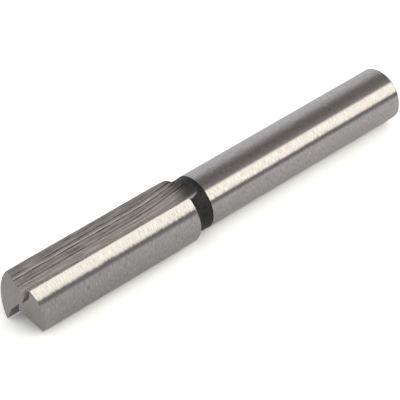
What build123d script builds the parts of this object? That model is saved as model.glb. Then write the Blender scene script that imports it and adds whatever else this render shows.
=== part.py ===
from build123d import *
from math import cos, hypot, radians, sin, tan
import os

# A solid straight router bit with two flutes, ground from one steel blank.
# X runs along the axis, from the cutting tip to the free end of the shank.
# The origin is on the axis, where the ground shank meets the neck.
# The bit lies on its shank, so Z is up and one flute faces the ground.
# Lengths are in mm and angles in degrees.

# Shank, held by the collet
shank_diameter = 6.35
shank_length = 29.32
shank_chamfer = 0.42

# Neck, left unground between the shank and the head
neck_undercut = 0.03
neck_taper = 0.7
neck_length = 1.62
neck_fillet = 0.30

# Shoulder, the cone from the neck up to the head
shoulder_angle = 40.0

# Head, from the shoulder to the tip
cutting_diameter = 7.94
cutting_length = 21.95
edge_angle = 126.5
land_relief_angle = 3.9

# Flutes: a flat floor and a hooked rake face, run out along the wheel's arc
web_thickness = 2.70
hook_angle = 13.5
root_fillet = 0.95
flute_wheel_radius = 16.0
flute_runout_start = 5.25

# End faces: each falls to the centre and away behind its cutting edge
dish_angle = 4.0
end_relief_angle = 8.6

# End gash: a notch in each flute's root that thins the web at the tip, wide in one flute, narrow in the other
gash_web = 0.50
gash_setback = 0.14
gash_slope = 34.0
gash_wall_angle = 7.0
wide_gash_angle = 64.0
narrow_gash_angle = 22.0

# Worked out from the sizes above
shank_radius = shank_diameter / 2
neck_radius = shank_radius - neck_undercut
foot_radius = neck_radius - neck_length * tan(radians(neck_taper))
cutting_radius = cutting_diameter / 2
land_offset = cutting_radius * tan(radians(land_relief_angle))
land_radius = hypot(cutting_radius, land_offset)
shoulder_length = (cutting_radius - foot_radius) / tan(radians(shoulder_angle))
shoulder_x = -neck_length - shoulder_length
tip_x = shoulder_x - cutting_length
floor_height = web_thickness / 2
wall_offset = cutting_radius * sin(radians(hook_angle))
runout_x = shoulder_x - flute_runout_start
reach = 2 * cutting_diameter
whole = 2 * (shank_length - tip_x)
quarter_turn = 90.0
half_turn = 180.0
same_place = 1e-6


def half_space(plane, side):
    """A block that fills one side of a plane: 1 for its normal's side, -1 for the other."""
    return plane * Pos(0, 0, side * whole / 2) * Box(whole, whole, whole)


def across(angle, distance=1.0):
    """A point off the axis, at an angle from Y towards Z."""
    return Vector(0, distance * cos(radians(angle)), distance * sin(radians(angle)))


def turned_blank():
    """The blank as turned: head, shoulder, neck and chamfered shank."""
    outline = Polyline(
        (tip_x, 0),
        (tip_x, cutting_radius),
        (shoulder_x, cutting_radius),
        (-neck_length, foot_radius),
        (0, neck_radius),
        (0, shank_radius),
        (shank_length - shank_chamfer, shank_radius),
        (shank_length, shank_radius - shank_chamfer),
        (shank_length, 0),
        close=True,
    )
    profile = make_face(outline)
    foot = profile.vertices().sort_by_distance((-neck_length, foot_radius))[0]
    return revolve(fillet(foot, neck_fillet), Axis.X)


def relieved_head():
    """What two offset cylinders share: each land falls away behind its cutting edge."""
    start_x = tip_x - reach
    lands = []
    for start in (edge_angle, edge_angle + half_turn):
        centre = across(start + quarter_turn, -land_offset) + Vector(start_x, 0, 0)
        section = Plane(origin=centre, x_dir=across(start - quarter_turn), z_dir=(1, 0, 0))
        lands.append(extrude(section * Circle(land_radius), -neck_length - start_x))
    return lands[0] & lands[1]


def stem():
    """The part of the blank that the land relief never touches."""
    foot = Plane(origin=(-neck_length, 0, 0), z_dir=(1, 0, 0))
    return half_space(foot, 1)


def flute_plane():
    """The plane of the rake face: its x is the axis, its y the floor's normal."""
    side = across(edge_angle - hook_angle + quarter_turn)
    return Plane(origin=side * wall_offset, x_dir=(1, 0, 0), z_dir=side)


def flute_cutter():
    """What the flute wheel removes: floor, run-out arc, root fillet and rake face."""
    top = floor_height + flute_wheel_radius
    front = tip_x - reach
    floor = Line((front, floor_height), (runout_x, floor_height))
    runout = CenterArc((runout_x, top), flute_wheel_radius, -quarter_turn, quarter_turn)
    back = Line(runout @ 1, (front, top))
    nose = Line((front, top), (front, floor_height))
    side = make_face(Wire([floor, runout, back, nose]))
    cutter = extrude(flute_plane() * side, -reach)
    return fillet(cutter.edges().filter_by(is_root), root_fillet)


def is_root(edge):
    """Whether an edge of the flute cutter lies in the corner under the rake face."""
    middle = flute_plane().to_local_coords(edge @ 0.5)
    on_wall = abs(middle.Z) < same_place
    on_floor = abs(middle.Y - floor_height) < same_place
    return on_wall and (on_floor or edge.geom_type == GeomType.CIRCLE)


def end_relief_cutter():
    """What dishes and relieves the end face behind one cutting edge."""
    outward = across(edge_angle)
    behind = across(edge_angle + quarter_turn)
    ahead = Vector(1, 0, 0)
    corner = Vector(tip_x, 0, 0) + outward * cutting_radius
    dish = tan(radians(dish_angle))
    relief = tan(radians(end_relief_angle))
    face = Plane(origin=corner, x_dir=outward - ahead * dish, z_dir=ahead + outward * dish - behind * relief)
    edge_line = Plane(origin=corner, x_dir=outward, z_dir=behind)
    return half_space(face, -1) & half_space(edge_line, 1)


def gash_cutter(face_angle):
    """The notch, opened by an angle and kept in front of the rake face."""
    outward = across(edge_angle)
    behind = across(edge_angle + quarter_turn)
    centre = Vector(tip_x + cutting_radius * tan(radians(dish_angle)), 0, 0)
    bottom = centre + outward * (gash_web / 2) + behind * gash_setback
    along = Vector(1, 0, 0) * cos(radians(gash_slope)) + outward * sin(radians(gash_slope))
    wall = Vector(-sin(radians(gash_wall_angle)), cos(radians(gash_wall_angle))) * reach
    face = Vector(sin(radians(face_angle)), cos(radians(face_angle))) * reach
    section = make_face(Polyline((0, 0), wall, face, close=True))
    notch = extrude(Plane(origin=bottom, x_dir=-behind, z_dir=along) * section, reach, both=True)
    return notch & half_space(flute_plane(), -1)


def router_bit():
    """The whole bit: blank, land relief, then flutes, ends and gashes in pairs."""
    bit = turned_blank() & (relieved_head() + stem())
    for turn, gash_angle in ((0, wide_gash_angle), (half_turn, narrow_gash_angle)):
        place = Rot(turn, 0, 0)
        bit -= place * flute_cutter()
        bit -= place * end_relief_cutter()
        bit -= place * gash_cutter(gash_angle)
    return bit


bit = router_bit()
os.makedirs("parts", exist_ok=True)
export_step(bit, "parts/router_bit.step")
print("solids", len(bit.solids()), "volume", round(bit.volume, 2))
print("box", bit.bounding_box())
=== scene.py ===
import bmesh
import bpy
import math
import numpy as np
from mathutils import Matrix, Quaternion, Vector


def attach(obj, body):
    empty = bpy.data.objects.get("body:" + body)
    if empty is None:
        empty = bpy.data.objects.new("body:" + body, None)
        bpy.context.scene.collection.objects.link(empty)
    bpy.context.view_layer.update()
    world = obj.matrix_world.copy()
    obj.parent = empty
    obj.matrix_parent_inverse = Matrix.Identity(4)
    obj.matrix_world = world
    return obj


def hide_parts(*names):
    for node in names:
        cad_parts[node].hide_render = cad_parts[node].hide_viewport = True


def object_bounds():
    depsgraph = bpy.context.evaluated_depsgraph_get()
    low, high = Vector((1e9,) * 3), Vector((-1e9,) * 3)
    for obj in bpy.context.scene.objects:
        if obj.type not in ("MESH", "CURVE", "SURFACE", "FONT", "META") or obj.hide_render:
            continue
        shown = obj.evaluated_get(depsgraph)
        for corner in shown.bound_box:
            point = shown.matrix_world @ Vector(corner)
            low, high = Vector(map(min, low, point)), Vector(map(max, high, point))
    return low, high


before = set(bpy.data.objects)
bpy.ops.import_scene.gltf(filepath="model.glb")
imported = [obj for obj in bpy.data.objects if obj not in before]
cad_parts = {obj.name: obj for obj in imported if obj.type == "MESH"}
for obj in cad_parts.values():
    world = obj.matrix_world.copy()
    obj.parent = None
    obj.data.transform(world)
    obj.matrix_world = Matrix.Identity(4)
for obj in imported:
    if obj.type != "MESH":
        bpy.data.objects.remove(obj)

# A straight router bit, ground from one steel blank, lying on a pale floor.
# X runs along the axis from the cutting tip to the shank's free end, and Z is up.
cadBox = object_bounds()
mm = 0.001
quarterTurn, halfTurn = 90.0, 180.0
scene = bpy.context.scene
scene.view_settings.view_transform = "Standard"


def linearColour(hexCode):  # sRGB hex to linear light by the sRGB curve, with alpha 1
    channels = np.array([int(hexCode[i:i + 2], 16) for i in (1, 3, 5)]) / 255
    linear = np.where(channels <= 0.04045, channels / 12.92, ((channels + 0.055) / 1.055) ** 2.4)
    return (*linear.tolist(), 1.0)


# A node with its settings, and its inputs set or linked. A colour ramp also has stops, each of them a place
# from 0 to 1 and a colour.
def addNode(tree, kind, links=None, stops=(), **settings):
    node = tree.nodes.new("ShaderNode" + kind)
    for name, value in settings.items():
        setattr(node, name, value)
    while stops and len(node.color_ramp.elements) < len(stops):
        node.color_ramp.elements.new(1.0)
    for number, (place, colour) in enumerate(stops):
        node.color_ramp.elements[number].position = place
        node.color_ramp.elements[number].color = linearColour(colour)
    for socket, value in (links or {}).items():
        if isinstance(value, bpy.types.Node):
            value = value.outputs[0]
        if isinstance(value, bpy.types.NodeSocket):
            tree.links.new(value, node.inputs[socket])
        else:
            node.inputs[socket].default_value = value
    return node


def newMaterial(name):  # a material with an empty node tree
    material = bpy.data.materials.new(name)
    material.use_nodes = True
    material.node_tree.nodes.clear()
    return material, material.node_tree


def gridFaces(rings, around):  # quads between neighbouring rings of a closed grid
    ring, step = np.meshgrid(np.arange(rings - 1), np.arange(around), indexing="ij")
    following = (step + 1) % around
    here, ahead = ring * around, (ring + 1) * around
    return np.stack([here + step, here + following, ahead + following, ahead + step], -1).reshape(-1, 4)


def placed(name, data):  # an object at the origin, linked to the scene
    made = bpy.data.objects.new(name, data)
    scene.collection.objects.link(made)
    return made


def meshObject(name, points, faces):  # an object from rows of points and of corner numbers
    mesh = bpy.data.meshes.new(name)
    mesh.from_pydata(points.tolist(), [], faces)
    mesh.update()
    return placed(name, mesh)


# Camera, fitted to the shank's outline and the head's corners in the photograph, in mm and degrees
view = dict(lens=205.0, distance=249.6, azimuth=-39.86, elevation=36.96, roll=-3.73,
            aim=(0.79, -0.09, -0.09), clipStart=10.0)


def addCamera():  # stands back from its aim along one direction, and rolls about it
    data = bpy.data.cameras.new("camera")
    data.lens = view["lens"]
    data.clip_start = view["clipStart"] * mm
    camera = placed("camera", data)
    turn, rise = math.radians(view["azimuth"]), math.radians(view["elevation"])
    back = Vector((math.sin(turn) * math.cos(rise), -math.cos(turn) * math.cos(rise), math.sin(rise)))
    roll = Quaternion((0, 0, 1), math.radians(view["roll"]))
    camera.location = (Vector(view["aim"]) + back * view["distance"]) * mm
    camera.rotation_mode = "QUATERNION"
    camera.rotation_quaternion = (-back).to_track_quat("-Z", "Y") @ roll
    scene.camera = camera


addCamera()
print("camera placed")

# The bit's sizes in mm and degrees
bit = dict(
    shankRadius=3.175, shankEnd=29.32, shankChamfer=0.42,
    neckUndercut=0.03, neckTaper=0.7, neckLength=1.62, neckFillet=0.30, shoulderAngle=40.0,
    cuttingRadius=3.97, cuttingLength=21.95, edgeAngle=126.5, landRelief=3.9, edgeBreak=0.05,
    floorHeight=1.35, hookAngle=13.5, rootFillet=0.95, wheelRadius=16.0, runoutStart=5.25,
    dishAngle=4.0, endRelief=8.6,
    gashWeb=0.50, gashSetback=0.14, gashSlope=34.0, gashWall=7.0, wideGash=64.0, narrowGash=22.0,
)
# How finely it is worked out, also in mm and degrees
detail = dict(
    land=90, flute=190,  # steps across a land and a flute
    prism=70, runout=34, cone=6, fillet=5, neck=26, shank=8,  # rings along the bit
    stock=1.2,  # rough blank ahead of the tip, which the end grind takes off
    searchFrom=-2.2, searchTo=7.0, searchSteps=2600,  # runs among which a flute's edges are looked for
    halvings=40, heelRounds=4,  # rounds in which the run-out's nose and the heel settle
    weldGap=0.0002, sliverGap=0.00002,  # what is welded, and what is taken away as a sliver
    samePlace=0.001, sameSide=0.9999, wallReach=0.002,  # how near a face or point counts as the rake face's
    endCrease=2.0, crease=28.0,  # edges that turn by more than this are sharp
)


def tangentOf(angle):  # tangent of an angle in degrees
    return math.tan(math.radians(angle))


def across(angle):  # unit vector off the axis, turned from Y towards Z
    return np.array([0.0, math.cos(math.radians(angle)), math.sin(math.radians(angle))])


floorAngle = bit["edgeAngle"] - bit["hookAngle"]
floorNormal = across(floorAngle)
wallSide = across(floorAngle + quarterTurn)
wallOffset = bit["cuttingRadius"] * math.sin(math.radians(bit["hookAngle"]))
wheelTop = bit["floorHeight"] + bit["wheelRadius"]
filletRun = bit["rootFillet"] * math.pi / 2
neckRadius = bit["shankRadius"] - bit["neckUndercut"]
footRadius = neckRadius - bit["neckLength"] * tangentOf(bit["neckTaper"])
shoulderX = -bit["neckLength"] - (bit["cuttingRadius"] - footRadius) / tangentOf(bit["shoulderAngle"])
tipX = shoulderX - bit["cuttingLength"]
runoutX = shoulderX - bit["runoutStart"]


def neckProfile():  # x and radius along the neck's fillet: an arc tangent to the cone and the tapered neck
    taper = math.radians(bit["neckTaper"])
    run = bit["neckFillet"] * tangentOf((bit["shoulderAngle"] + bit["neckTaper"]) / 2)
    centreX = -bit["neckLength"] + run * math.cos(taper) - bit["neckFillet"] * math.sin(taper)
    centreR = footRadius + run * math.sin(taper) + bit["neckFillet"] * math.cos(taper)
    angle = np.radians(np.linspace(bit["shoulderAngle"], -bit["neckTaper"], detail["fillet"]))
    return centreX - bit["neckFillet"] * np.sin(angle), centreR - bit["neckFillet"] * np.cos(angle)


filletX, filletR = neckProfile()


def blankRadius(x):  # radius of the turned blank, taken straight between the points of its outline
    return np.interp(x, [shoulderX, *filletX, 0.0], [bit["cuttingRadius"], *filletR, neckRadius])


def landRadius(angle):  # a land is an arc about a centre set off the axis, so it falls away behind its edge
    behind = np.sin(np.radians(np.mod(angle - bit["edgeAngle"], halfTurn)))
    offset = bit["cuttingRadius"] * tangentOf(bit["landRelief"])
    return np.sqrt(bit["cuttingRadius"] ** 2 + (offset * behind) ** 2) - offset * behind


# Grind marks on the flute floor, in mm and degrees. Fine lines have random depths, part of which wavers
# along the flute. Chatter fades out behind the tip. Each ridge gives its run from the wall's foot, its half
# width, its slope, and its reach from the tip as a share of the cutting length. In a flute's corner and near
# its edges and nose all of them fade.
marks = dict(
    seed=5, lines=110, firstLine=30, lineWidth=0.12, lineSlope=3.5,  # the first line is at the wall's foot
    steady=0.4, waver=0.6, waves=1.5,  # parts of a line's depth, and how often one wavers along the head
    chatterReach=3.2, chatterSlope=4.0, chatterStep=0.42, chatterLean=0.8,  # leans in waves per mm of run
    ridges=((2.20, 0.16, 6, 1.0), (2.62, 0.10, 8, 1.0), (2.94, 0.08, 7, 0.8), (3.40, 0.10, 7, 1.0),
            (3.76, 0.10, 16, 1.0), (3.92, 0.07, 6, 1.0), (4.22, 0.06, 5, 0.6)),
    ridgeFade=0.12, edgeFade=60, noseFade=0.4,  # an edge's takes a sixtieth of the way to the other edge
)


def grindDepth(x, run):  # depth under the floor: eased from line to line, less the ridges, plus the chatter
    rng = np.random.default_rng(marks["seed"])
    depths = rng.normal(0, 1, marks["lines"])
    drift = rng.uniform(0, 1, marks["lines"])
    along = (x - tipX) / bit["cuttingLength"]
    waves = marks["waves"] * along
    place = np.clip(run / marks["lineWidth"] + marks["firstLine"], 0, marks["lines"] - 2)
    left = np.floor(place).astype(int)
    share = place - left
    share = share * share * (3 - 2 * share)
    before, after = (
        depths[line] * (marks["steady"] + marks["waver"] * np.sin(2 * np.pi * (waves + drift[line])))
        for line in (left, left + 1))
    depth = marks["lineWidth"] / 2 * tangentOf(marks["lineSlope"]) * (before * (1 - share) + after * share)
    for centre, half, slope, reach in marks["ridges"]:
        aside = np.clip((run - centre) / half, -1, 1)
        fade = np.clip((reach - along) / marks["ridgeFade"], 0, 1)
        depth = depth - tangentOf(slope) * half / 2 * (1 - aside * aside) ** 2 * fade
    near = np.clip(1 - (x - tipX) / marks["chatterReach"], 0, 1)
    ripple = np.sin(2 * np.pi * (x / marks["chatterStep"] + marks["chatterLean"] * run))
    return depth + near * ripple * marks["chatterStep"] * tangentOf(marks["chatterSlope"]) / (2 * np.pi)


# The flute as the wheel leaves it, at a run measured from the wall's foot: up the wall, round the corner's
# quarter circle and across the rim, which rises along the wheel's circle past the start of the run-out.
# Gives each point's offset towards the wall side, and its height along the floor's normal.
def fluteSurface(x, run):
    bend = np.clip(run / bit["rootFillet"], 0, np.pi / 2)
    away = bit["rootFillet"] * (1 - np.cos(bend)) + np.maximum(run - filletRun, 0)
    rim = bit["wheelRadius"] - bit["rootFillet"] * (1 - np.sin(bend))
    height = wheelTop - np.sqrt(rim ** 2 - np.maximum(x - runoutX, 0) ** 2) + np.maximum(-run, 0)
    return wallOffset - away, height


def sectionAngle(aside, height):  # where a point of the flute's surface lies round the axis, in degrees
    return floorAngle + np.degrees(np.arctan2(aside, height))


# The run where the flute's section meets the blank, at its cutting edge or its heel: where its radius less
# the blank's changes sign, taken straight between two steps. Also tells whether they meet at all.
def crossings(x, heel):
    runs = np.linspace(detail["searchFrom"], detail["searchTo"], detail["searchSteps"])
    aside, height = fluteSurface(x[:, None], runs[None, :])
    radius = np.hypot(aside, height)
    limit = np.minimum(bit["cuttingRadius"], blankRadius(x))[:, None]
    if heel:
        limit = np.minimum(limit, landRadius(sectionAngle(aside, height)))
    gap = radius - limit
    inside = gap < 0
    rows = np.arange(x.size)
    if heel:
        after = runs.size - np.argmax(inside[:, ::-1], 1)
        after = np.minimum(after, runs.size - 1)
        before = after - 1
    else:
        after = np.argmax(inside, 1)
        before = np.maximum(after - 1, 0)
    first, second = gap[rows, before], gap[rows, after]
    share = first / np.where(first == second, 1, first - second)
    return runs[before] + share * (runs[after] - runs[before]), inside.any(1)


def noseX():  # where the run-out leaves the neck, found by halving
    low, high = -bit["neckLength"], 0.0
    for _ in range(detail["halvings"]):
        middle = (low + high) / 2
        if crossings(np.array([middle]), False)[1][0]:
            low = middle
        else:
            high = middle
    return low


# Place of each ring, from the rough end ahead of the tip to the run-out's nose, where the rings lie closer,
# and its lean: how far, from 0 to 1, it follows the cone's later start where the land is relieved
def headRings():
    nose = noseX()
    toNose = 1 - (1 - np.linspace(0, 1, detail["neck"] + 1)[1:]) ** 2
    toCone = np.linspace(0, 1, detail["cone"] + 1)[1:]
    coneX = shoulderX + bit["edgeBreak"]
    place = np.concatenate([
        np.linspace(tipX - detail["stock"], runoutX, detail["prism"], endpoint=False),
        np.linspace(runoutX, shoulderX - bit["edgeBreak"], detail["runout"]),
        [coneX],
        coneX + (filletX[0] - coneX) * toCone,
        filletX[1:],
        filletX[-1] + (nose - filletX[-1]) * toNose,
    ])
    lean = np.concatenate([
        np.zeros(detail["prism"]), np.linspace(0, 1, detail["runout"]), [1.0], 1 - toCone,
        np.zeros(detail["fillet"] - 1 + detail["neck"]),
    ])
    return place, lean


def extraRun(angle):  # how much later the cone starts where the land is relieved
    return (bit["cuttingRadius"] - landRadius(angle)) / tangentOf(bit["shoulderAngle"])


def landPoints(place, lean, edgeAngle, heelAngle):  # even turns from a ring's cutting edge to its next heel
    share = np.linspace(0, 1, detail["land"] + 1)[None, :-1]
    angle = edgeAngle[:, None] + (heelAngle + halfTurn - edgeAngle)[:, None] * share
    relieved = np.maximum(angle, bit["edgeAngle"])
    x = place[:, None] + lean[:, None] * extraRun(relieved)
    radius = np.minimum(landRadius(relieved), blankRadius(x))
    turn = np.radians(angle)
    return np.stack([x, radius * np.cos(turn), radius * np.sin(turn)], -1)


def flutePoints(place, heelX, heelRun, edgeRun):  # even runs from heel to edge, with the grind marks
    share = np.linspace(0, 1, detail["flute"] + 1)[None, :-1]
    run = heelRun[:, None] + (edgeRun - heelRun)[:, None] * share
    x = heelX[:, None] + (place - heelX)[:, None] * share
    aside, height = fluteSurface(x, run)
    fade = np.clip(run / bit["rootFillet"], 0, 1)
    fade = fade * np.minimum(np.minimum(share, 1 - share) * marks["edgeFade"], 1)
    fade = fade * np.clip((place[-1] - place[:, None]) / marks["noseFade"], 0, 1)
    height = height - grindDepth(x, run) * fade
    axis = np.array([1.0, 0, 0])
    return x[..., None] * axis + aside[..., None] * wallSide + height[..., None] * floorNormal


def headGrid():  # rings of land, flute, land, flute: each ring is one closed section of the head
    place, lean = headRings()
    edgeRun, _ = crossings(place, False)
    edgeAngle = sectionAngle(*fluteSurface(place, edgeRun))
    heelX = place.copy()
    for _ in range(detail["heelRounds"]):
        heelRun, _ = crossings(heelX, True)
        heelAngle = sectionAngle(*fluteSurface(heelX, heelRun))
        heelX = place + lean * extraRun(heelAngle)
    heelRun[-1] = edgeRun[-1]
    heelAngle[-1] = edgeAngle[-1]
    land = landPoints(place, lean, edgeAngle, heelAngle)
    flute = flutePoints(place, heelX, heelRun, edgeRun)
    half = np.array([1.0, -1, -1])  # a half turn about the axis
    return np.concatenate([land, flute * half, land * half, flute], 1)


def shankRings(lastRing):  # plain circles from the run-out's end to the chamfered free end
    angle = np.arctan2(lastRing[:, 2], lastRing[:, 1])
    chamferX, endRadius = bit["shankEnd"] - bit["shankChamfer"], bit["shankRadius"] - bit["shankChamfer"]
    places = np.concatenate([[0.0], np.linspace(0, chamferX, detail["shank"]), [bit["shankEnd"]]])
    radii = np.concatenate([[neckRadius], np.full(detail["shank"], bit["shankRadius"]), [endRadius]])
    x = np.broadcast_to(places[:, None], (places.size, angle.size))
    return np.stack([x, radii[:, None] * np.cos(angle), radii[:, None] * np.sin(angle)], -1)


finish = dict(round=0, flute=1, end=2, neck=3)  # each finish's place among the piece's materials


def faceFinishes(rings, around):  # the finish of each quad, from its ring and its step round the ring
    ring = np.repeat(np.arange(rings - 1), around)
    step = np.tile(np.arange(around), rings - 1)
    coneStart = detail["prism"] + detail["runout"]
    noseRing = coneStart + detail["cone"] + detail["fillet"] + detail["neck"] - 1
    onFlute = (np.mod(step, around // 2) >= detail["land"]) & (ring < noseRing)
    onNeck = (ring >= coneStart) & (ring <= noseRing + 1)
    return np.where(onFlute, finish["flute"], np.where(onNeck, finish["neck"], finish["round"]))


def bitBlank():  # the whole bit before its tip is ground: a closed grid with a flat cap at each end
    head = headGrid()
    grid = np.concatenate([head, shankRings(head[-1])], 0)
    rings, around = grid.shape[:2]
    faces = gridFaces(rings, around).tolist()
    faces.append(list(range(around - 1, -1, -1)))
    faces.append(list(range((rings - 1) * around, rings * around)))
    made = meshObject("ground_bit", grid.reshape(-1, 3), faces)
    finishes = np.append(faceFinishes(rings, around), [finish["end"], finish["round"]])
    made.data.polygons.foreach_set("material_index", finishes.astype(np.int32))
    return made


def hullObject(name, corners, cut=None):  # a convex block through some corners, cut off past a given plane
    mesh = bpy.data.meshes.new(name)
    form = bmesh.new()
    for corner in corners:
        form.verts.new(corner)
    bmesh.ops.convex_hull(form, input=form.verts[:])
    if cut:
        bmesh.ops.bisect_plane(form, geom=form.verts[:] + form.edges[:] + form.faces[:],
                               plane_co=cut[0], plane_no=cut[1], clear_outer=True)
        bmesh.ops.edgeloop_fill(form, edges=[edge for edge in form.edges if edge.is_boundary])
    bmesh.ops.recalc_face_normals(form, faces=form.faces[:])
    form.to_mesh(mesh)
    form.free()
    return placed(name, mesh)


def endBlock(turn):  # what dishes the end to its centre and relieves it behind one cutting edge
    outward, behind = across(bit["edgeAngle"] + turn), across(bit["edgeAngle"] + turn + quarterTurn)
    dish, relief = tangentOf(bit["dishAngle"]), tangentOf(bit["endRelief"])
    reach, front = 2 * bit["cuttingRadius"], tipX - 2 * detail["stock"]  # well past the rough blank
    corners = []
    for out in (-reach, reach):
        for back in (0, reach):
            face = tipX + (bit["cuttingRadius"] - out) * dish + back * relief
            corners += [out * outward + back * behind + (x, 0, 0) for x in (front, face)]
    return hullObject("end_block", corners)


def gashBlock(turn, opening):  # the notch in one flute's root: a sloping wedge in front of the rake face
    outward, behind = across(bit["edgeAngle"] + turn), across(bit["edgeAngle"] + turn + quarterTurn)
    slope = math.radians(bit["gashSlope"])
    recess = bit["cuttingRadius"] * tangentOf(bit["dishAngle"])
    bottom = outward * bit["gashWeb"] / 2 + behind * bit["gashSetback"] + (tipX + recess, 0, 0)
    along = outward * math.sin(slope) + (math.cos(slope), 0, 0)
    upright = outward * math.cos(slope) - (math.sin(slope), 0, 0)
    reach = 3 * bit["cuttingRadius"]  # well past the bit
    corners = []
    for end in (-reach, reach):
        corners.append(bottom + along * end)
        for lean in (-bit["gashWall"], opening):
            leant = math.radians(lean)
            side = upright * math.cos(leant) - behind * math.sin(leant)
            corners.append(bottom + along * end + reach * side)
    wall = across(floorAngle + turn + quarterTurn)
    return hullObject("gash_block", corners, (wall * wallOffset, wall))


def combined(made, other, operation):  # replaces a piece's mesh by its union with another, or its difference
    change = made.modifiers.new("change", "BOOLEAN")
    change.object = other
    change.operation = operation
    change.solver = "EXACT"
    change.material_mode = "INDEX"
    mesh = bpy.data.meshes.new_from_object(made.evaluated_get(bpy.context.evaluated_depsgraph_get()))
    made.modifiers.clear()
    old, made.data = made.data, mesh
    bpy.data.meshes.remove(old)
    bpy.data.objects.remove(other)


def groundTip(made):  # grinds both ends and both gashes in one cut, and leaves the rake faces their finish
    cutter = endBlock(0)
    for other in (endBlock(halfTurn), gashBlock(0, bit["wideGash"]), gashBlock(halfTurn, bit["narrowGash"])):
        combined(cutter, other, "UNION")
    for material in made.data.materials:
        cutter.data.materials.append(material)
    for face in cutter.data.polygons:
        face.material_index = finish["end"]
    combined(made, cutter, "DIFFERENCE")
    side = Vector(wallSide)
    for face in made.data.polygons:
        offset = abs(abs(face.center.dot(side)) - wallOffset)
        if abs(face.normal.dot(side)) > detail["sameSide"] and offset < detail["samePlace"]:
            face.material_index = finish["flute"]


def cleaned(made):  # welds the seams and run-out ends, and marks the ground edges sharp
    form = bmesh.new()
    form.from_mesh(made.data)
    bmesh.ops.remove_doubles(form, verts=form.verts[:], dist=detail["weldGap"])
    bmesh.ops.dissolve_degenerate(form, edges=form.edges[:], dist=detail["sliverGap"])
    for face in form.faces:
        face.smooth = True
    for edge in form.edges:
        first, second = (face.material_index for face in edge.link_faces)
        limit = math.radians(detail["endCrease"] if first == finish["end"] else detail["crease"])
        edge.smooth = first == second and edge.calc_face_angle() < limit
    form.to_mesh(made.data)
    form.free()


noiseReach = {1: 0.25, 2: 0.75}  # most noise lies in this range, from which a Map Range node stretches it
octaves = dict(cloud=3.0, patch=2.0, spot=4.0)  # of the noises that every look shares


# A point's offset towards the wall side and its height along the floor's normal, and that offset as its own
# flute has it: the flute below the axis is the other one turned by half a turn
def fluteSides(tree, place):
    aside, height = (
        addNode(tree, "VectorMath", {0: place, 1: tuple(side)}, operation="DOT_PRODUCT").outputs["Value"]
        for side in (wallSide, floorNormal))
    half = addNode(tree, "Math", {0: height}, operation="SIGN")
    inward = addNode(tree, "Math", {0: aside, 1: half}, operation="MULTIPLY")
    return aside, height, inward


# Noise drawn out into lines: the distance across them over their pitch, and the distance along them over
# their length. They run round the bit, along it, or over its ends. On a rake face the height is added to the
# distance across, which would be the same all over it otherwise.
def groundLines(tree, place, pitch, length, fineness, way):
    split = addNode(tree, "SeparateXYZ", {0: place})
    if way == "round":
        turn = addNode(tree, "Math", {0: split.outputs[2], 1: split.outputs[1]}, operation="ARCTAN2")
        crosswise = split
        lengthwise = addNode(tree, "Math", {0: turn, 1: bit["shankRadius"] * mm}, operation="MULTIPLY")
    elif way == "along":
        aside, height, inward = fluteSides(tree, place)
        nearWall = (wallOffset - detail["wallReach"]) * mm
        onWall = addNode(tree, "Math", {0: inward, 1: nearWall}, operation="GREATER_THAN")
        crosswise = addNode(tree, "Math", {0: onWall, 1: height, 2: aside}, operation="MULTIPLY_ADD")
        lengthwise = split
    else:
        crosswise, lengthwise, _ = fluteSides(tree, place)
    grain = addNode(tree, "CombineXYZ", {0: crosswise, 1: lengthwise})
    scaled = addNode(tree, "VectorMath", {0: grain, 1: (pitch * mm, length * mm, 1.0)}, operation="DIVIDE")
    return addNode(tree, "TexNoise", {"Vector": scaled, "Scale": 1.0, "Detail": fineness})


def darkLines(tree, place, look):  # the deepest scratch at a point of a flute's floor, made patchy
    inward = fluteSides(tree, place)[2]
    start = (wallOffset - bit["rootFillet"] + filletRun) * mm
    run = addNode(tree, "Math", {0: start, 1: inward}, operation="SUBTRACT")
    deepest = 0.0
    for centre, half, strength in look["scratches"]:
        offset = addNode(tree, "Math", {0: run, 1: centre * mm}, operation="SUBTRACT")
        away = addNode(tree, "Math", {0: offset}, operation="ABSOLUTE")
        depth = addNode(tree, "MapRange", {0: away, 1: 0.0, 2: half * mm, 3: strength, 4: 0.0})
        deepest = addNode(tree, "Math", {0: deepest, 1: depth}, operation="MAXIMUM")
    pitch, length = look["scratchPitch"], look["scratchLength"]
    patches = groundLines(tree, place, pitch, length, octaves["patch"], "along")
    low, high = look["patchiness"]
    patchy = addNode(tree, "MapRange", {0: patches, **noiseReach, 3: low, 4: high}, clamp=False)
    return addNode(tree, "Math", {0: deepest, 1: patchy}, operation="MULTIPLY")


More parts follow.
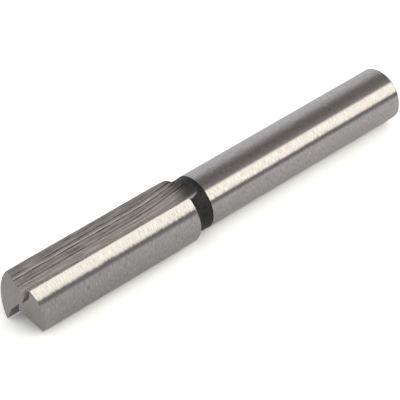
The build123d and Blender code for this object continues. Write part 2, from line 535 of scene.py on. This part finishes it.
# Bare ground steel. One noise drawn out into lines sets each line's tone, and leans the surface there a
# little to one side or the other, across the axis. A softer cloud darkens it in places.
def steel(name, look, way):
    material, tree = newMaterial(name)
    place = addNode(tree, "TexCoord").outputs["Object"]
    normal = addNode(tree, "NewGeometry").outputs["Normal"]
    axis = addNode(tree, "CombineXYZ", {0: 1.0})
    sideways = addNode(tree, "VectorMath", {0: normal, 1: axis}, operation="CROSS_PRODUCT")
    lines = groundLines(tree, place, look["pitch"], look["length"], look["octaves"], way)
    cloud = addNode(tree, "TexNoise", {
        "Vector": place, "Scale": 1 / (look["cloud"] * mm), "Detail": octaves["cloud"]})
    lineTone = addNode(tree, "MapRange", {0: lines, **noiseReach, 3: 0.0, 4: 1.0}, clamp=False)
    cloudTone = addNode(tree, "MapRange", {0: cloud, **noiseReach, 3: 0.0, 4: look["clouding"]}, clamp=False)
    layers = [(lineTone, look["light"]), (cloudTone, look["dark"])]
    if way == "along":
        layers.append((darkLines(tree, place, look), look["scratch"]))
    tone = linearColour(look["dark"])
    for share, colour in layers:
        links = {0: share, 6: tone, 7: linearColour(colour)}
        tone = addNode(tree, "Mix", links, data_type="RGBA").outputs[2]
    swing = tangentOf(look["swing"])
    tilt = addNode(tree, "MapRange", {0: lines, **noiseReach, 3: -swing, 4: swing}, clamp=False)
    lean = addNode(tree, "VectorMath", {0: sideways, 3: tilt}, operation="SCALE")
    leant = addNode(tree, "VectorMath", {0: normal, 1: lean}, operation="ADD")
    shader = addNode(tree, "BsdfPrincipled", {
        "Base Color": tone, "Metallic": 1.0, "Roughness": look["roughness"],
        "Anisotropic": look["anisotropic"], "Tangent": sideways if way == "along" else axis,
        "Normal": addNode(tree, "VectorMath", {0: leant}, operation="NORMALIZE")})
    addNode(tree, "OutputMaterial", {"Surface": shader})
    return material


def blackScale(look):  # the blank's own skin: black iron scale, dull and a little mottled
    material, tree = newMaterial("blackScale")
    place = addNode(tree, "TexCoord").outputs["Object"]
    spots = addNode(tree, "TexNoise", {
        "Vector": place, "Scale": 1 / (look["spot"] * mm), "Detail": octaves["spot"]})
    share = addNode(tree, "MapRange", {0: spots, **noiseReach, 3: 0.0, 4: 1.0}, clamp=False)
    dark, light = linearColour(look["dark"]), linearColour(look["light"])
    tone = addNode(tree, "Mix", {0: share, 6: dark, 7: light}, data_type="RGBA")
    bump = addNode(tree, "Bump", {
        "Height": spots, "Strength": look["bump"], "Distance": look["relief"] * mm})
    shader = addNode(tree, "BsdfPrincipled", {
        "Base Color": tone.outputs[2], "Roughness": look["roughness"],
        "Specular IOR Level": look["specular"], "Normal": bump})
    addNode(tree, "OutputMaterial", {"Surface": shader})
    return material


# Finishes, with lengths in mm and the swing of the lines in degrees. Real grind lines are finer: these are
# as coarse as they need to be to show.
# Ground round: fine rings, so reflections stay crisp round the bit and blur along it
roundLook = dict(light="#b8b3b1", dark="#807b7a", roughness=0.31, anisotropic=1.0, pitch=0.072, length=0.65,
                 octaves=2.0, swing=1.8, cloud=1.1, clouding=0.12)
# Flutes: scratches run lengthwise, so reflections blur across the floor. Each dark scratch gives its run
# from the wall's foot, half width and strength
fluteLook = dict(light="#e8e3df", dark="#6f6b6a", roughness=0.28, anisotropic=0.9, pitch=0.13, length=2.2,
                 octaves=4.0, swing=7.0, cloud=0.6, clouding=0.25,
                 scratch="#4c4a49", scratchPitch=0.3, scratchLength=2.5, patchiness=(0.3, 1.3),
                 scratches=((1.82, 0.12, 0.4), (1.97, 0.09, 0.35), (2.45, 0.07, 0.5), (2.78, 0.15, 1.0),
                            (3.12, 0.13, 0.85), (3.30, 0.14, 0.65), (3.56, 0.15, 1.1), (4.05, 0.15, 1.1),
                            (4.32, 0.15, 0.6), (4.60, 1.00, 0.55)))
# End faces: a fine flat grind
endLook = dict(light="#aba5a0", dark="#958f89", roughness=0.36, anisotropic=0.3, pitch=0.12, length=1.5,
               octaves=3.0, swing=2.0, cloud=0.6, clouding=0.5)
# Neck and cone: the scale left from rolling, nearly black, with a faint grain
scaleLook = dict(light="#2a2626", dark="#020202", roughness=0.50, specular=0.15, spot=0.19, relief=0.020,
                 bump=0.5)

bitPiece = bitBlank()
for material in (
        steel("roundGroundSteel", roundLook, "round"), steel("fluteGroundSteel", fluteLook, "along"),
        steel("endGroundSteel", endLook, "end"), blackScale(scaleLook)):
    bitPiece.data.materials.append(material)
cleaned(bitPiece)
print("blank made", len(bitPiece.data.polygons), "faces")
groundTip(bitPiece)
cleaned(bitPiece)
bitPiece.data.transform(Matrix.Scale(mm, 4))
print("tip ground", len(bitPiece.data.polygons), "faces")
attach(bitPiece, "root")
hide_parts("router_bit")

# Studio: a pale floor, a soft box in front, and panels that only reflections see, in a tube round the axis.
# Angles are in degrees from straight up towards the front, and lengths in metres. The colours in which
# reflections see the floor are given along X in mm: pale greys that darken past the tip, a painted shade
# on the floor that only reflections see. Past the tip the panels' strength changes, over a short stretch
# that slants with the angle.
studio = dict(
    worldColour="#ffffff", worldStrength=1.13,
    floorColour="#ffffff", floorSize=3.0, floorReach=0.040,
    # the floor's greys as reflections see them, darker past the tip: painted shade on the floor
    floorSeenShaded=((-36, "#a3a4a6"), (-26, "#d4d5d8"), (-12, "#d6d7da"), (14, "#e5e6e9")),
    boxFrom=29.8, boxTo=72.8, boxLeft=-0.09, boxRight=2.05, boxRadiance=2.33, boxColour="#fffeee",
    panelRadius=0.7, panelSteps=40, panelStrength=1.65,
    changeFrom=-0.095, changeTo=-0.073, changeSlant=0.12,
)
# Each panel: its reach round the tube, its ends along X, how many times as strong it is past the tip, and
# its colours by angle
ceiling = dict(reach=(-90.0, 29.0), ends=(-0.46, 4.0), pastTip=0.07,
               colours=((-88, "#eff7ff"), (-70, "#ececf0"), (-56, "#ebecf2"), (-44, "#d2d3d7"),
                        (-34, "#b8b5b5"), (-24, "#817d79"), (-10, "#7c7873"), (6, "#868380"),
                        (24, "#aaa7a5")))
flag = dict(reach=(73.0, 91.2), ends=(-4.0, 4.0), pastTip=8.2,
            colours=((73, "#56555a"), (82, "#58575b"), (90, "#686768")))
screen = dict(reach=(29.0, 73.0), ends=(-0.27, -0.09), pastTip=1.0,
              colours=((28, "#3a3939"), (74, "#3a3939")))


def panel(name, look):  # a strip of the tube: points at its radius, turned from straight up to the front
    steps, radius, strength = studio["panelSteps"], studio["panelRadius"], studio["panelStrength"]
    x, angle = np.meshgrid(look["ends"], np.radians(np.linspace(*look["reach"], steps)), indexing="ij")
    points = np.stack([x, -radius * np.sin(angle), radius * np.cos(angle)], -1)
    step = np.arange(steps - 1)
    faces = np.stack([step, step + 1, step + steps + 1, step + steps], -1)
    made = meshObject(name, points.reshape(-1, 3), faces.tolist())
    material, tree = newMaterial(name)
    place = addNode(tree, "SeparateXYZ", {0: addNode(tree, "TexCoord").outputs["Object"]}).outputs
    front = addNode(tree, "Math", {0: place[1], 1: -1.0}, operation="MULTIPLY")
    turn = addNode(tree, "Math", {0: front, 1: place[2]}, operation="ARCTAN2")
    share = addNode(tree, "MapRange", {0: turn, 1: -math.pi / 2, 2: math.pi / 2})
    stops = [((stop + quarterTurn) / halfTurn, code) for stop, code in look["colours"]]
    colour = addNode(tree, "ValToRGB", {0: share}, stops)
    slant = {0: turn, 1: studio["changeSlant"], 2: place[0]}
    slanted = addNode(tree, "Math", slant, operation="MULTIPLY_ADD")
    glow = addNode(tree, "MapRange", {
        0: slanted, 1: studio["changeFrom"], 2: studio["changeTo"],
        3: look["pastTip"] * strength, 4: strength})
    shader = addNode(tree, "Emission", {"Color": colour, "Strength": glow})
    addNode(tree, "OutputMaterial", {"Surface": shader})
    made.data.materials.append(material)
    made.visible_camera = made.visible_diffuse = made.visible_shadow = made.visible_transmission = False
    return made


def softBox():  # a lamp that spans an angle of the tube, flat, facing the axis
    data = bpy.data.lights.new("soft_box", "AREA")
    made = placed("soft_box", data)
    middle = math.radians((studio["boxFrom"] + studio["boxTo"]) / 2)
    half = math.radians((studio["boxTo"] - studio["boxFrom"]) / 2)
    data.shape = "RECTANGLE"
    data.size = studio["boxRight"] - studio["boxLeft"]
    data.size_y = 2 * studio["panelRadius"] * math.tan(half)
    data.energy = studio["boxRadiance"] * math.pi * data.size * data.size_y
    data.color = linearColour(studio["boxColour"])[:3]
    away = Vector((0, -math.sin(middle), math.cos(middle)))
    centre = Vector(((studio["boxLeft"] + studio["boxRight"]) / 2, 0, 0))
    made.location = away * studio["panelRadius"] + centre
    made.rotation_mode = "QUATERNION"
    made.rotation_quaternion = Quaternion((1, 0, 0), middle)
    made.visible_camera = False


def floorSheet():  # a sheet under the bit, white to the camera and pale greys along X to reflections
    half, low, reach = studio["floorSize"], cadBox[0].z, studio["floorReach"]
    corners = np.array([(-half, -half, low), (half, -half, low), (half, half, low), (-half, half, low)])
    made = meshObject("floor", corners, [(0, 1, 2, 3)])
    material, tree = newMaterial("paleFloor")
    place = addNode(tree, "SeparateXYZ", {0: addNode(tree, "TexCoord").outputs["Object"]})
    share = addNode(tree, "MapRange", {0: place, 1: -reach, 2: reach})
    # painted shade: the greys that reflections see on the floor darken past the tip
    stops = [(0.5 + stop * mm / (2 * reach), code) for stop, code in studio["floorSeenShaded"]]
    seen = addNode(tree, "ValToRGB", {0: share}, stops)
    direct = addNode(tree, "LightPath").outputs["Is Camera Ray"]
    white = linearColour(studio["floorColour"])
    colour = addNode(tree, "Mix", {0: direct, 6: seen, 7: white}, data_type="RGBA").outputs[2]
    matt = addNode(tree, "BsdfDiffuse", {"Color": colour})
    addNode(tree, "OutputMaterial", {"Surface": matt})
    made.data.materials.append(material)
    return made


world = bpy.data.worlds.new("studio")
scene.world = world
world.use_nodes = True
world.node_tree.nodes["Background"].inputs[0].default_value = linearColour(studio["worldColour"])
world.node_tree.nodes["Background"].inputs[1].default_value = studio["worldStrength"]
softBox()
floorSheet()
panel("ceiling", ceiling)
panel("flag", flag)
panel("screen", screen)
print("studio lit")
